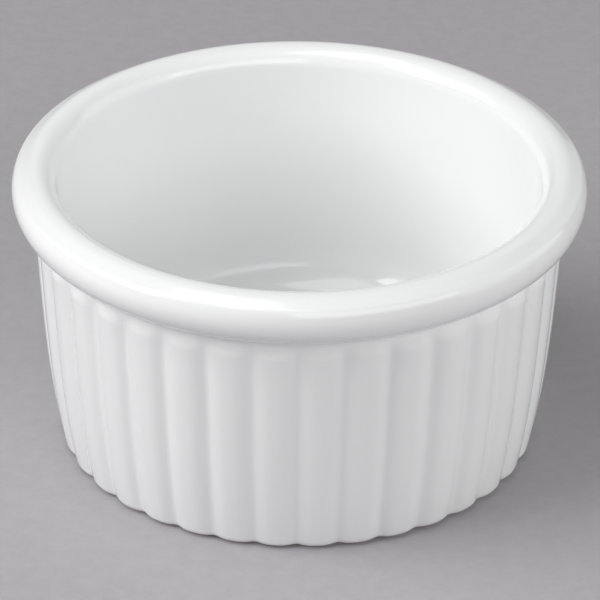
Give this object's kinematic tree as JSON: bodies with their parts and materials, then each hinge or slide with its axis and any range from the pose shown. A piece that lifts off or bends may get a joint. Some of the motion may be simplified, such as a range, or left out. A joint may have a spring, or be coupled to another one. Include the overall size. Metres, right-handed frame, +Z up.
{
  "type": "ramekin",
  "caption": "White glazed round baking cup with a fluted outer wall, a rolled rim, a smooth deep bowl and an unglazed foot ring.",
  "frame": {"origin": "middle of the flat face of the foot ring, on the surface that the cup stands on", "axes": "+Z up along the cup's turning axis, out of its mouth; X and Y lie level, each through a valley between two flutes"},
  "size_m": [0.0794, 0.0794, 0.042],
  "materials": {
    "bare_clay": "matte",
    "white_glaze": "gloss"
  },
  "bodies": {
    "root": {"clay_body": "bare_clay", "glaze_coat": "white_glaze", "foot_glaze": "white_glaze"}
  },
  "joints": []
}
